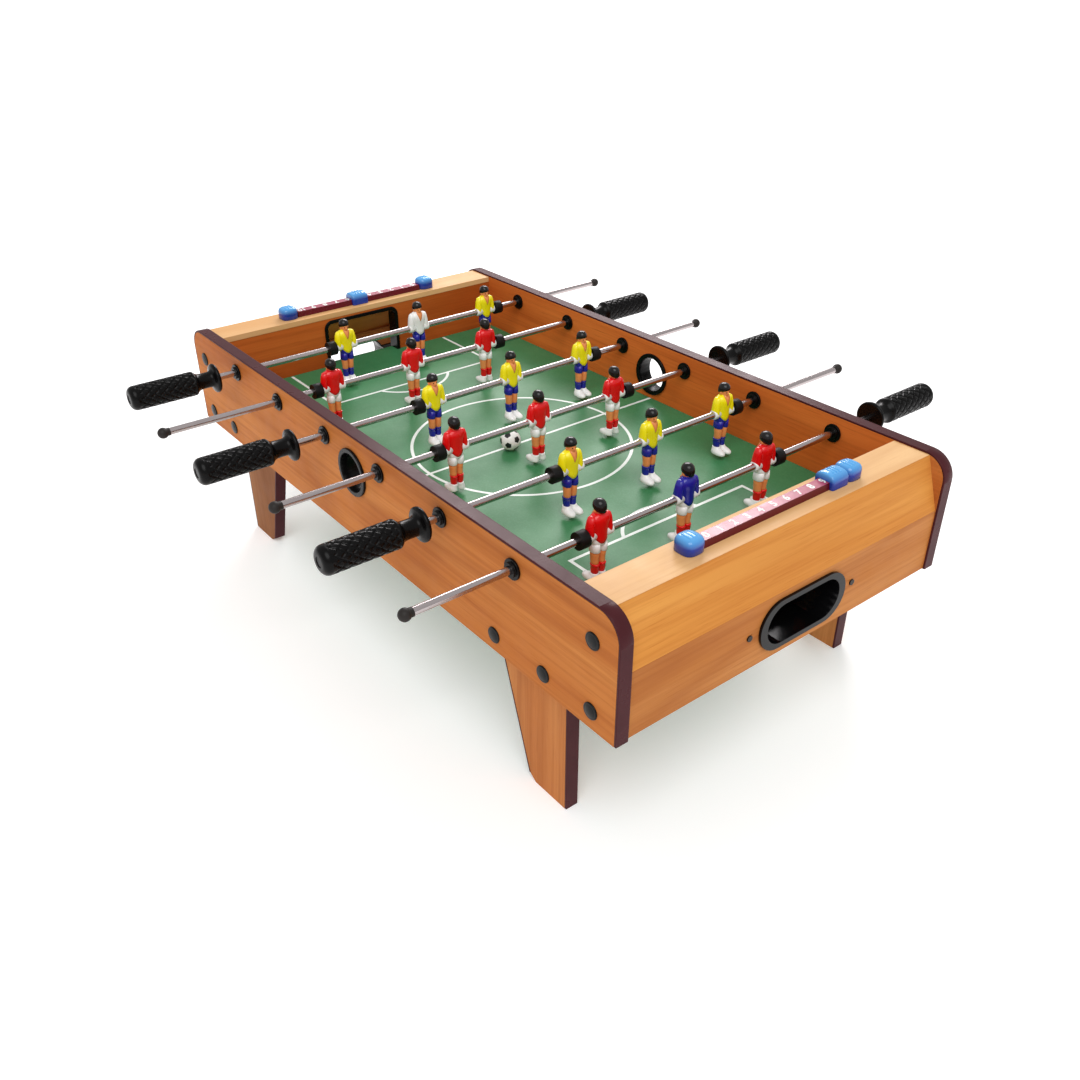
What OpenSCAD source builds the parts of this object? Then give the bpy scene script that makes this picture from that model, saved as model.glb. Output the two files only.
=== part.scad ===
// Tabletop foosball: a wooden box on four board legs, six sliding and turning rods,
// eighteen players, two goals with ball cups, two serve holes, two bead-style scorers.
// +X runs along the table, +Y across it, +Z up, origin on the ground under the middle.

/* [Table] */
// Overall length of the box
table_l = 690; // [600:1:760]
// Overall width of the box
table_w = 370; // [360:1:420]
// Height of the box's lower edge above the ground
leg_h = 119; // [90:1:160]
// Height of the side panels, edging included
box_h = 106; // [104:1:120]
// Thickness of the side panels, goal walls, end panels and legs
board_t = 12; // [9:1:15]
// Thickness of the edging on the panels and legs
trim_t = 2; // [1:0.5:3]
// Outer radius of the side panels' top corners
corner_r = 22; // [15:1:30]
// Height of the field's surface above the ground
pitch_z = 162; // [160:1:163]

/* [Ends] */
// Distance from the middle to each goal wall's inner face
goal_x = 293; // [290:1:296]
// Width of the flat top board of an end box
top_board_w = 34.5; // [30:0.5:38]
// Height of the edge between the slanted board and the end panel
slant_foot_z = 177; // [174:1:182]
// Outer width of a goal frame
goal_w = 95; // [80:1:110]
// Outer height of a goal frame above the field
goal_h = 53; // [46:1:53]
// Outer width of a ball cup's flange
cup_w = 99; // [80:1:110]
// Outer height of a ball cup's flange
cup_h = 45; // [40:1:46]
// Height of a ball cup's middle above the ground
cup_z = 148.7; // [146:0.1:150]
// How far a goal and its cup stand to the left of the middle, seen from the field
end_shift = 7; // [0:0.5:9]

/* [Rods] */
// Distance between neighbouring rods
rod_pitch = 92.8; // [92:0.1:94]
// Height of the rods above the ground
rod_z = 207.5; // [206:0.5:209]
// Diameter of a rod
rod_d = 6.5; // [5:0.5:8]
// Outer diameter of a bearing's barrel
bearing_d = 12; // [11:0.5:14]
// Diameter of a bearing's flange
flange_d = 17; // [16:0.5:19]
// Distance between neighbouring players on a rod
player_pitch = 92; // [88:1:94]
// How far each rod stands off its middle place, rod 1 first
rod_shift = [31, -35, 22, -16.5, 36.5, -13];
// Diameter of the handle's grip
grip_d = 24; // [22:0.5:27]
// Diameter of the flange at the handle's inner end
grip_flange_d = 29; // [27:0.5:31]

/* [Player] */
// Depth of the boots' soles under the rod's middle
sole_drop = 41.2; // [39:0.1:42]
// Height of the head's top over the rod's middle
head_top = 29; // [26:0.5:30]
// Width across the arms
arm_span = 25; // [20:0.5:25]

/* [Small parts] */
// Diameter of the ball
ball_d = 20; // [18:0.5:22]
// Outer diameter of a serve cup's rim
serve_d = 44.5; // [43:0.5:48]
// Diameter of a black screw cap
cap_d = 14; // [12:0.5:16]
// Width of a scorer's rail
rail_w = 12; // [10:0.5:14]
// Length between a scorer's end caps
rail_l = 158; // [140:1:170]

/* [Hidden] */
$fn = 48;
half_l = table_l / 2;
half_w = table_w / 2;
inner_w = half_w - board_t;          // inner face of a side panel
box_top = leg_h + box_h;
wood_top = box_top - trim_t;         // top of the wood under the edging
end_face = half_l - 2.5;             // outer face of an end panel
top_board_t = 6;
pitch_t = 6;
groove = 3;                          // how deep the field board sits in the sides
run_gap = 0.05;                      // radial clearance of a running fit
slide_gap = 0.2;                     // gap between flat faces that move
rod_x = [for (i = [0:5]) (i - 2.5) * rod_pitch];

// screws and caps
shaft_d = 4;
head_d = 8.6;
head_t = 3;
cap_t = 2;
screw_l = 23;
block_x = [311, 326];                // corner block, from and to
block_z = [122, 199];
end_screw_x = 318.5;
end_screw_z = [135, 195];
leg_screw_x = [206, 266];
leg_screw_z = 134;

// legs
leg_out = 280;                       // outer edge, edging included
leg_foot = 234.3;                    // inner edge at the ground
leg_top = 154;
leg_lean = 0.3175;                   // inner edge's run for each millimetre of rise
foot_clip = 5;

// rod furniture, measured from the rod's middle place
handle_in = 238;
handle_out = 326;
rod_handle_end = 316;                // rod's end inside the handle
rod_cap_end = 262;                   // rod's end inside the end cap
stop_in = arm_span / 2 + player_pitch + 0.3;
stop_t = 8.8;
stop_d = 14.5;
end_cap_d = 10;

// scorers
scorer_x = 308;
rail_t = 6;
end_cap_l = 19;
end_cap_w = 19;
end_cap_t = 13;
slider_l = 19.6;
slider_y = [-2, 68.5];               // where the left and right markers stand

ball_at = [6, -18.5];

// ---- helpers ----

// a cylinder along +Y from y0 to y1
module bar_y(r, y0, y1) {
    translate([0, y0, 0]) rotate([-90, 0, 0]) cylinder(r = r, h = y1 - y0);
}

// a cylinder along +X from x0 to x1
module bar_x(r, x0, x1) {
    translate([x0, 0, 0]) rotate([0, 90, 0]) cylinder(r = r, h = x1 - x0);
}

// a flat shape in X and Z, standing from y0 to y1
module stand_y(y0, y1) {
    translate([0, y1, 0]) rotate([90, 0, 0]) linear_extrude(y1 - y0) children();
}

// a flat shape in Y and Z, standing from x0 to x1
module stand_x(x0, x1) {
    translate([x0, 0, 0]) rotate([90, 0, 90]) linear_extrude(x1 - x0) children();
}

// a rectangle with four round corners, centred
module round_rect(w, h, r) {
    square([w - 2 * r, h], center = true);
    square([w, h - 2 * r], center = true);
    for (x = [-1, 1], y = [-1, 1])
        translate([x * (w / 2 - r), y * (h / 2 - r)]) circle(r = r);
}

// a bar shape with half-round ends, centred
module stadium(w, h) {
    square([w - h, h], center = true);
    for (x = [-1, 1]) translate([x * (w - h) / 2, 0]) circle(d = h);
}

// a rectangle standing on the axis with only its top corners round
module round_top(w, h, r) {
    translate([-w / 2, 0]) square([w, h - r]);
    translate([-w / 2 + r, 0]) square([w - 2 * r, h]);
    for (x = [-1, 1]) translate([x * (w / 2 - r), h - r]) circle(r = r);
}

// the same thing at the near and far sides
module both_sides() {
    children();
    mirror([0, 1, 0]) children();
}

// the same thing at the right end and, after half a turn, at the left end
module each_end() {
    children();
    rotate([0, 0, 180]) children();
}

// the same thing mirrored to the left end
module both_ends() {
    children();
    mirror([1, 0, 0]) children();
}

// ---- box ----

module side_panel(wood) {
    color(wood) difference() {
        translate([0, 0, leg_h]) stand_y(-half_w, -inner_w)
            round_top(table_l - 2 * trim_t, box_h - trim_t, corner_r - trim_t);
        for (x = rod_x) translate([x, 0, rod_z])
            bar_y(bearing_d / 2 + run_gap, -half_w - 1, -inner_w + 1);
        translate([0, 0, serve_z]) bar_y(serve_hole_r, -half_w - 1, -inner_w + 1);
        translate([-goal_x - board_t, -inner_w - groove, pitch_z - pitch_t])
            cube([2 * (goal_x + board_t), board_t, pitch_t]);
        at_screws() screw_room();
    }
}

// places of the eight screws of the near panel
module at_screws() {
    for (side = [-1, 1]) {
        for (z = end_screw_z) translate([side * end_screw_x, -half_w, z]) children();
        for (x = leg_screw_x) translate([side * x, -half_w, leg_screw_z]) children();
    }
}

module screw_room() {
    bar_y(shaft_d / 2 + run_gap, -1, screw_l + 2);
    bar_y(head_d / 2 + run_gap, -1, head_t);
}

module edge_trims() {
    color("#3c1e20") both_sides() translate([0, 0, leg_h]) stand_y(-half_w, -inner_w)
        difference() {
            round_top(table_l, box_h, corner_r);
            translate([0, -1])
                round_top(table_l - 2 * trim_t, box_h - trim_t + 1, corner_r - trim_t);
        }
}

module pitch_board() {
    color("#4f9a68") translate([-goal_x - board_t, -inner_w - groove, pitch_z - pitch_t])
        cube([2 * (goal_x + board_t), 2 * (inner_w + groove), pitch_t]);
}

// ---- end boxes, drawn at the right end ----

goal_bar = 4;
module goal_wall() {
    color("#a9541f") difference() {
        translate([goal_x, -inner_w, pitch_z])
            cube([board_t, 2 * inner_w, wood_top - top_board_t - pitch_z]);
        translate([0, end_shift, pitch_z]) stand_x(goal_x - 1, goal_x + board_t + 1)
            goal_hole(goal_bar - 1.5);
    }
}

// the goal's opening, inset from the frame's outline
module goal_hole(inset) {
    translate([0, -1]) round_top(goal_w - 2 * inset, goal_h - inset + 1, 10 - inset);
}

module goal_frame() {
    flange_t = 2;
    sleeve = 14;
    color("#161616") translate([0, end_shift, pitch_z]) difference() {
        union() {
            stand_x(goal_x - flange_t, goal_x) round_top(goal_w, goal_h, 10);
            stand_x(goal_x, goal_x + sleeve) intersection() {
                goal_hole(goal_bar - 1.5);
                translate([-goal_w / 2, 0]) square([goal_w, goal_h]);
            }
        }
        stand_x(goal_x - flange_t - 1, goal_x + sleeve + 1) goal_hole(goal_bar);
    }
}

top_outer = goal_x - 0.5 + top_board_w;        // upper edge of the slanted board
slant_t = 8.5;                                 // level thickness of the slanted board
slant_run = (end_face - top_outer) / (wood_top - slant_foot_z);
mitre_x = top_outer + slant_run * top_board_t - slant_t;

module top_board() {
    color("#f2dcae") stand_y(-inner_w, inner_w) polygon([
        [goal_x - 0.5, wood_top - top_board_t], [mitre_x, wood_top - top_board_t],
        [top_outer, wood_top], [goal_x - 0.5, wood_top]
    ]);
}

module slant_board() {
    color("#de964b") stand_y(-inner_w, inner_w) polygon([
        [end_face, slant_foot_z], [top_outer, wood_top],
        [mitre_x, wood_top - top_board_t], [end_face - slant_t, slant_foot_z]
    ]);
}

module end_panel() {
    color("#be7d4b") difference() {
        translate([end_face - board_t, -inner_w, leg_h])
            cube([board_t, 2 * inner_w, slant_foot_z - leg_h]);
        translate([0, end_shift, cup_z]) stand_x(end_face - board_t - 1, end_face + 1)
            stadium(cup_tube_w + 0.2, cup_tube_h + 0.2);
        at_cup_screws() bar_x(1.5, end_face - board_t - 1, end_face + 1);
    }
}

module corner_blocks() {
    color("#b98b57") both_sides() both_ends() difference() {
        translate([block_x[0], -inner_w, block_z[0]])
            cube([block_x[1] - block_x[0], 20, block_z[1] - block_z[0]]);
        at_screws() screw_room();
    }
}

// ---- ball cups and serve cups ----

cup_rim = 4;
cup_wall = 1.6;
cup_tube_w = cup_w - 2 * cup_rim - 4;
cup_tube_h = cup_h - 2 * cup_rim + 2;
cup_back = 309;
ear_y = [41, 67];

module at_cup_screws() {
    for (side = [-1, 1]) translate([0, end_shift + side * 60, cup_z + 0.8]) children();
}

module ball_cup() {
    ear_t = 3;
    inner = end_face - board_t;
    color("#141416") difference() {
        translate([0, end_shift, 0]) {
            translate([0, 0, cup_z]) {
                stand_x(end_face, half_l) stadium(cup_w, cup_h);
                stand_x(cup_back, end_face) stadium(cup_tube_w, cup_tube_h);
            }
            for (side = [0, 1]) mirror([0, side, 0])
                translate([inner - ear_t, ear_y[0], cup_z - 6])
                    cube([ear_t, ear_y[1] - ear_y[0], 13]);
        }
        translate([0, end_shift, cup_z]) stand_x(cup_back + cup_wall, half_l + 1)
            stadium(cup_tube_w - 2 * cup_wall, cup_tube_h - 2 * cup_wall);
        translate([cup_back - 1, end_shift - cup_w / 2, cup_z + 7.5])
            cube([inner - 4 - cup_back, cup_w, cup_h]);
        at_cup_screws() bar_x(1.3, inner - ear_t - 1, inner + 1);
    }
}

module cup_screw() {
    color("#2a2623") at_cup_screws() {
        bar_x(1.25, end_face - board_t - 3, end_face);
        bar_x(2.6, end_face, end_face + 1.2);
    }
}

serve_z = 189;
serve_hole_r = 20;
module serve_cup() {
    wall = 2;
    middle = half_w - board_t / 2;
    color("#141416") translate([0, 0, serve_z]) difference() {
        union() {
            bar_y(serve_hole_r - 0.05, -half_w, -middle);
            bar_y(serve_d / 2, -half_w - 2.5, -half_w);
            bar_y(serve_hole_r - 0.05, -middle, -inner_w);
            bar_y(serve_d / 2, -inner_w, -inner_w + 2.5);
        }
        bar_y(serve_hole_r - wall, -half_w - 4, -inner_w + 4);
    }
}

// ---- legs ----

// the leg's inner edge at a height
function leg_in(z) = leg_foot - leg_lean * z;

module leg() {
    color("#c08453") difference() {
        stand_y(-inner_w, -inner_w + board_t) polygon([
            [leg_out - trim_t, 0], [leg_foot + trim_t + foot_clip, 0],
            [leg_in(foot_clip) + trim_t, foot_clip], [leg_in(leg_top) + trim_t, leg_top],
            [leg_out - trim_t, leg_top]
        ]);
        at_screws() screw_room();
    }
}

module leg_bands() {
    color("#3a2224") stand_y(-inner_w, -inner_w + board_t) {
        translate([leg_out - trim_t, 0]) square([trim_t, leg_top]);
        polygon([
            [leg_in(foot_clip), foot_clip], [leg_in(foot_clip) + trim_t, foot_clip],
            [leg_in(leg_top) + trim_t, leg_top], [leg_in(leg_top), leg_top]
        ]);
    }
}

// ---- fasteners ----

module screw_caps() {
    color("#1a1a1a") both_sides() at_screws() {
        bar_y(cap_d / 2, -cap_t + 0.8, 0);
        translate([0, -cap_t + 0.8, 0]) rotate([90, 0, 0])
            cylinder(r1 = cap_d / 2, r2 = cap_d / 2 - 1.4, h = 0.8);
    }
}

module panel_screws() {
    color("silver") both_sides() at_screws() {
        bar_y(head_d / 2, 0, head_t);
        bar_y(shaft_d / 2, head_t, screw_l);
    }
}

// ---- scorers, drawn at the right end ----

module scorer_rail() {
    color("#8a1020") translate([scorer_x, 0, wood_top]) stand_y(-rail_l / 2, rail_l / 2)
        polygon([
            [-rail_w / 2, 0], [rail_w / 2, 0], [rail_w / 2 - 1, rail_t],
            [-rail_w / 2 + 1, rail_t]
        ]);
}

module scorer_caps() {
    color("#325ab4") both_sides() translate([scorer_x, rail_l / 2 + end_cap_l / 2, wood_top])
        linear_extrude(end_cap_t) round_rect(end_cap_w, end_cap_l, 4);
}

module scorer_slider(y) {
    color("#3c6ac8") translate([scorer_x, y, wood_top + slide_gap]) difference() {
        linear_extrude(end_cap_t) round_rect(end_cap_w, slider_l, 4);
        translate([0, 0, -1]) stand_y(-slider_l, slider_l) polygon([
            [-rail_w / 2 - slide_gap, 0], [rail_w / 2 + slide_gap, 0],
            [rail_w / 2 + slide_gap, 1], [rail_w / 2 - 1 + slide_gap, rail_t + 1],
            [-rail_w / 2 + 1 - slide_gap, rail_t + 1], [-rail_w / 2 - slide_gap, 1]
        ]);
    }
}

// ---- rods ----

// rods 1, 3 and 5 have their handles on the near side and face right, the others
// have them on the far side and face left; k counts from 0
function handle_side(k) = k % 2 == 0 ? -1 : 1;

// places a rod's furniture, drawn as for a near handle and a rod facing right
module at_rod(k) {
    translate([rod_x[k], rod_shift[k], rod_z])
        rotate([0, 0, handle_side(k) < 0 ? 0 : 180]) children();
}

module rod(k) {
    color("#c9c6c4") at_rod(k) bar_y(rod_d / 2, -rod_handle_end, rod_cap_end);
}

module bearings(k) {
    hub = 4;
    color("#151515") translate([rod_x[k], 0, rod_z]) both_sides() difference() {
        union() {
            bar_y(bearing_d / 2, -half_w - 1, -inner_w + 1);
            bar_y(flange_d / 2, -half_w - slide_gap - hub / 2, -half_w - slide_gap);
            bar_y(flange_d / 2 - 2.5, -half_w - slide_gap - hub, -half_w - slide_gap - 1);
            bar_y(flange_d / 2, -inner_w + slide_gap, -inner_w + slide_gap + hub / 2);
            bar_y(flange_d / 2 - 2.5, -inner_w + slide_gap + 1, -inner_w + slide_gap + hub);
        }
        bar_y(rod_d / 2 + run_gap, -half_w - 10, -inner_w + 10);
    }
}

// grip turned about the rod: end flange, slim neck, ribbed grip, round outer end
module handle(k) {
    g = grip_d / 2;
    flange_r = grip_flange_d / 2;
    neck_r = g - 4.2;
    bore = rod_d / 2 + 0.02;
    round_r = 6;
    rib = 1;
    rib_count = 6;
    grip_from = 263;
    grip_to = handle_out - round_r;
    step = (grip_to - grip_from) / rib_count;
    color("#171717") at_rod(k) rotate([90, 0, 0]) rotate_extrude() {
        difference() {
            union() {
                polygon(concat(
                    [[bore, handle_in], [flange_r - 0.5, handle_in],
                     [flange_r, handle_in + 1], [flange_r, handle_in + 3],
                     [flange_r - 1.5, handle_in + 4.2], [neck_r, handle_in + 5.5],
                     [neck_r, grip_from - 4]],
                    [for (i = [0:rib_count - 1], p = [0.1, 0.9])
                        [g - (p < 0.5 ? rib : 0), grip_from + step * (i + p)]],
                    [[g, grip_to], [bore, grip_to]]
                ));
                translate([g - round_r, grip_to]) intersection() {
                    circle(r = round_r);
                    square(round_r);
                }
                translate([0, grip_to - 1]) square([g - round_r, round_r + 1]);
            }
            translate([-1, handle_in - 1])
                square([bore + 1, rod_handle_end + 0.2 - handle_in + 1]);
        }
    }
}

module stops(k) {
    color("#1c1a1a") at_rod(k) difference() {
        union() {
            both_sides() bar_y(stop_d / 2, stop_in, stop_in + stop_t);
            bar_y(3.6, rod_cap_end - 6, rod_cap_end);
            translate([0, rod_cap_end, 0]) sphere(r = end_cap_d / 2);
        }
        bar_y(rod_d / 2 + 0.02, -stop_in - stop_t - 1, rod_cap_end);
    }
}

// ---- players ----

// a block with upright round edges, between two heights
module limb(w, d, r, z0, z1, x = 0) {
    translate([x, 0, z0]) linear_extrude(z1 - z0) round_rect(d, w, r);
}

module player() {
    boot_top = -36;
    hem = -14.7;
    hip = -7.5;
    shoulder = 17;
    arm_w = 6.4;
    head_r = 6.9;
    difference() {
        union() {
            limb(16.6, 16, 4, -sole_drop, boot_top, 3.6);
            limb(12.5, 8.5, 3, boot_top, hem);
            limb(14, 10.5, 3, hem, hip);
            limb(15, 11.5, 4, hip, shoulder);
            for (s = [-1, 1]) translate([0, s * (arm_span - arm_w) / 2, 0])
                limb(arm_w, 8, 2.5, -5, shoulder - 2);
            cylinder(r = 3.4, h = head_top - head_r);
            translate([0, 0, head_top - head_r]) sphere(r = head_r);
        }
        bar_y(rod_d / 2 + 0.02, -arm_span, arm_span);
    }
}

module players(k) {
    color(k % 2 == 0 ? "#f5f028" : "#f00a14") at_rod(k)
        for (i = [-1:1]) translate([0, i * player_pitch, 0]) player();
}

module ball() {
    color("white") translate([ball_at[0], ball_at[1], pitch_z + ball_d / 2])
        sphere(r = ball_d / 2);
}

// ---- nodes ----

side_panel("#b97341");  // near_side_panel
mirror([0, 1, 0]) side_panel("#aa551e");  // far_side_panel
edge_trims();
rotate([0, 0, 180]) goal_wall();  // left_goal_wall
goal_wall();  // right_goal_wall
mirror([1, 0, 0]) top_board();  // left_top_board
top_board();  // right_top_board
mirror([1, 0, 0]) slant_board();  // left_slant_board
slant_board();  // right_slant_board
rotate([0, 0, 180]) end_panel();  // left_end_panel
end_panel();  // right_end_panel
corner_blocks();
pitch_board();
each_end() goal_frame();  // goal_frames
each_end() ball_cup();  // ball_cups
both_sides() serve_cup();  // serve_cups
mirror([1, 0, 0]) leg();  // near_left_leg
leg();  // near_right_leg
mirror([1, 0, 0]) mirror([0, 1, 0]) leg();  // far_left_leg
mirror([0, 1, 0]) leg();  // far_right_leg
both_ends() both_sides() leg_bands();  // leg_edge_bands
screw_caps();
panel_screws();
each_end() cup_screw();  // cup_screws
mirror([1, 0, 0]) scorer_rail();  // left_scorer_rail
scorer_rail();  // right_scorer_rail
both_ends() scorer_caps();  // scorer_end_caps
mirror([1, 0, 0]) scorer_slider(slider_y[0]);  // left_scorer_slider
scorer_slider(slider_y[1]);  // right_scorer_slider
ball();
for (k = [0:5]) {
    rod(k);
    handle(k);
    players(k);
    stops(k);
    bearings(k);
}
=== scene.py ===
import math

import bmesh
import bpy
from mathutils import Matrix, Vector


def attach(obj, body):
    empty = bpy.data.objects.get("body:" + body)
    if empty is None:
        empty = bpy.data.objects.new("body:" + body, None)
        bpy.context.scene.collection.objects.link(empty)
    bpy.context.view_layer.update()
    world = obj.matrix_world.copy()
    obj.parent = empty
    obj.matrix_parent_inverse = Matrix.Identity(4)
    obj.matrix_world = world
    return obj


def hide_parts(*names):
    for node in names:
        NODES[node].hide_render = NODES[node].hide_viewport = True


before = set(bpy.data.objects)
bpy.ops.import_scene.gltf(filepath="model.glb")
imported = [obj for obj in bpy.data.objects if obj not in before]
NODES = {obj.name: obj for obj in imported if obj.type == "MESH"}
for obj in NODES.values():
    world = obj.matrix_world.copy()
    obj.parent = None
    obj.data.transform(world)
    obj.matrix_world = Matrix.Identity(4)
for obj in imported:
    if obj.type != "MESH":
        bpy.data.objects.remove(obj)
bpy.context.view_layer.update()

MM = 0.001

# ---------------------------------------------------------------- sizes in mm
FIELD_Z = 162.0
PANEL_IN, PANEL_OUT = 179.0, 185.0   # a side panel's faces, from the middle of the table
BOARDS_END = 315.0                   # where the end boards stop along the side panels
ROD_Z = 207.5
ROD_PITCH = 92.8
ROD_X = [(i - 2.5) * ROD_PITCH for i in range(6)]
ROD_SHIFT = [31, -35, 22, -16.5, 36.5, -13]
PLAYER_PITCH = 92.0
ROD_TIP_Y = 210.0                    # past this, only the rods' own end caps are rubber


# ---------------------------------------------------------------- materials
def srgb(r, g, b):
    """A colour given as 0..255 screen values, as the linear colour that shaders take."""
    def one(v):
        v /= 255
        return v / 12.92 if v <= 0.04045 else ((v + 0.055) / 1.055) ** 2.4
    return one(r), one(g), one(b), 1.0


class Paint:
    """One node material, built up call by call."""

    def __init__(self, name, **values):
        self.mat = bpy.data.materials.new(name)
        self.mat.use_nodes = True
        self.tree = self.mat.node_tree
        self.bsdf = self.tree.nodes["Principled BSDF"]
        for key, value in values.items():
            self.bsdf.inputs[key.replace("_", " ")].default_value = value
        self.object = self.node("ShaderNodeTexCoord").outputs["Object"]

    def node(self, kind, inputs=None, **settings):
        made = self.tree.nodes.new(kind)
        for key, value in settings.items():
            setattr(made, key, value)
        for key, value in (inputs or {}).items():
            self.feed(made.inputs[key], value)
        return made

    def feed(self, socket, value):
        if isinstance(value, bpy.types.NodeSocket):
            self.tree.links.new(value, socket)
        else:
            socket.default_value = value

    def scaled(self, x, y, z, shift=(0, 0, 0)):
        """Object coordinates times a scale for each axis."""
        return self.node("ShaderNodeMapping", {
            "Vector": self.object, "Scale": (x, y, z), "Location": shift}).outputs["Vector"]

    def noise(self, vector, scale=1.0, detail=3.0, rough=0.5, distort=0.0):
        return self.node("ShaderNodeTexNoise", {
            "Vector": vector, "Scale": scale, "Detail": detail, "Roughness": rough,
            "Distortion": distort}).outputs["Fac"]

    def math(self, operation, a, b=0.0, c=0.0):
        made = self.node("ShaderNodeMath", operation=operation)
        for socket, value in zip(made.inputs, (a, b, c)):
            self.feed(socket, value)
        return made.outputs[0]

    def past(self, axis, distance):
        """1 where a point lies further from the middle of the table than distance in mm."""
        place = self.node("ShaderNodeSeparateXYZ", {"Vector": self.object})
        return self.math("GREATER_THAN", self.math("ABSOLUTE", place.outputs[axis]),
                         distance * MM)

    def spread(self, value, low, high, to_low=0.0, to_high=1.0):
        """Value mapped from one range to another, and kept inside it."""
        return self.node("ShaderNodeMapRange", {
            "Value": value, "From Min": low, "From Max": high,
            "To Min": to_low, "To Max": to_high}).outputs["Result"]

    def mix(self, factor, a, b, blend="MIX"):
        made = self.node("ShaderNodeMix", data_type="RGBA", blend_type=blend)
        self.feed(made.inputs["Factor"], factor)
        self.feed(made.inputs[6], a)
        self.feed(made.inputs[7], b)
        return made.outputs[2]

    def bump(self, height, strength, distance, normal=None):
        inputs = {"Height": height, "Strength": strength, "Distance": distance}
        if normal is not None:
            inputs["Normal"] = normal
        return self.node("ShaderNodeBump", inputs).outputs["Normal"]

    def set(self, **values):
        for key, value in values.items():
            self.feed(self.bsdf.inputs[key.replace("_", " ")], value)
        return self.mat


def laminate(name, along, colours, seed, gloss=0.4, contrast=1.0, shine=0.1, figure=1.0,
             inside=None):
    """Printed wood grain that runs along one axis of the table, under a satin film.

    figure widens the flames; inside gives a side panel's inner face, from one end board to the
    other,
    its own colours: painted light, a brighter and deeper orange copy that makes up for the shade
    inside the box.
    """
    p = Paint(name, Specular_IOR_Level=shine)

    def grain(run, cross, shift):
        scale = [cross] * 3
        scale[along] = run
        return p.scaled(*scale, shift=(seed + shift, seed * 1.7 - shift, seed * 0.6 + shift))

    # outside the box the panel keeps its own colours; on the inner face it takes the
    # painted-light copy
    if inside:
        outer = p.math("MAXIMUM", p.past("Y", PANEL_IN), p.past("X", BOARDS_END))
        light, mid, dark = (p.mix(outer, b, a) for a, b in zip(colours, inside))
    else:
        light, mid, dark = colours
    bands = p.noise(grain(2.2, 20, 0), detail=4, rough=0.55, distort=0.25)
    flames = p.noise(grain(1.5 / figure, 9 / figure, 3.1), detail=2, rough=0.4, distort=0.5)
    rings = p.math("PINGPONG", p.math("MULTIPLY", flames, 16.0), 1.0)
    lines = p.noise(grain(5, 230, 5.3), detail=5, rough=0.65)
    pores = p.noise(grain(28, 900, 8.7), detail=2, rough=0.5)
    colour = p.mix(p.spread(bands, 0.36, 0.64), light, mid)
    colour = p.mix(p.spread(rings, 0.25, 1.0, 0.0, 0.34 * contrast), colour, dark)
    colour = p.mix(p.spread(lines, 0.44, 0.72, 0.0, 0.42 * contrast), colour, dark)
    colour = p.mix(p.spread(pores, 0.62, 0.74, 0.0, 0.38 * contrast), colour, dark)
    film = p.noise(p.scaled(60, 60, 60), detail=3)
    height = p.math("ADD", p.math("MULTIPLY", lines, 0.7), p.math("MULTIPLY", pores, -0.6))
    return p.set(
        Base_Color=colour,
        Roughness=p.spread(film, 0.3, 0.7, gloss - 0.05, gloss + 0.07),
        Normal=p.bump(height, 0.25, 0.0002))


def moulded(name, colour, gloss, spread=0.05, grain=900, depth=0.00006, tint=0.12, level=0.5,
            beyond=None, top=None):
    """Moulded plastic: fine surface texture, slight clouding, and rub marks that shine.

    beyond = (mm, colour) takes over that far out along Y;
    top = (from mm, to mm, colour) fades in between two heights, a painted highlight that makes
    the upper part lighter.
    """
    p = Paint(name, Specular_IOR_Level=level)
    cloud = p.noise(p.scaled(45, 45, 45), detail=4, rough=0.6)
    fine = p.noise(p.scaled(grain, grain, grain), detail=2)
    rub = p.noise(p.scaled(130, 130, 130, shift=(3, 1, 2)), detail=5, rough=0.7)
    darker = tuple(c * (1 - tint) for c in colour[:3]) + (1.0,)
    rough = p.math("ADD", p.spread(cloud, 0.3, 0.7, gloss - spread, gloss + spread),
                   p.spread(rub, 0.58, 0.75, 0.0, spread))
    base = p.mix(p.spread(cloud, 0.35, 0.65), colour, darker)
    if beyond:
        base = p.mix(p.past("Y", beyond[0]), base, beyond[1])
    # painted highlight: a lighter colour fades in towards the top
    if top:
        height = p.node("ShaderNodeSeparateXYZ", {"Vector": p.object}).outputs["Z"]
        base = p.mix(p.spread(height, top[0] * MM, top[1] * MM), base, top[2])
    return p.set(Base_Color=base, Roughness=rough, Normal=p.bump(fine, 0.3, depth))


def metal(name, colour, gloss, along):
    """Drawn bar: long hair-fine scratches and slight dulling."""
    p = Paint(name, Metallic=1.0)
    scale = [1500, 1500, 1500]
    scale[along] = 30
    hair = p.noise(p.scaled(*scale), detail=3)
    dull = p.noise(p.scaled(25, 25, 25), detail=4)
    dark = tuple(c * 0.86 for c in colour[:3]) + (1.0,)
    return p.set(
        Base_Color=p.mix(p.spread(hair, 0.4, 0.75), colour, dark),
        Roughness=p.spread(dull, 0.3, 0.7, gloss - 0.04, gloss + 0.06),
        Normal=p.bump(hair, 0.2, 0.00002))


def field_green():
    """Printed green board: a fine mottle with a satin coat."""
    p = Paint("field_green", Specular_IOR_Level=0.25)
    cloud = p.noise(p.scaled(14, 14, 14), detail=5, rough=0.6)
    fine = p.noise(p.scaled(700, 700, 700), detail=2)
    colour = p.mix(p.spread(cloud, 0.3, 0.7), srgb(64, 130, 84), srgb(54, 116, 72))
    colour = p.mix(p.spread(fine, 0.45, 0.8, 0.0, 0.35), colour, srgb(88, 150, 106))
    return p.set(Base_Color=colour, Roughness=p.spread(cloud, 0.3, 0.7, 0.38, 0.5),
                 Normal=p.bump(fine, 0.25, 0.0001))


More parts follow.
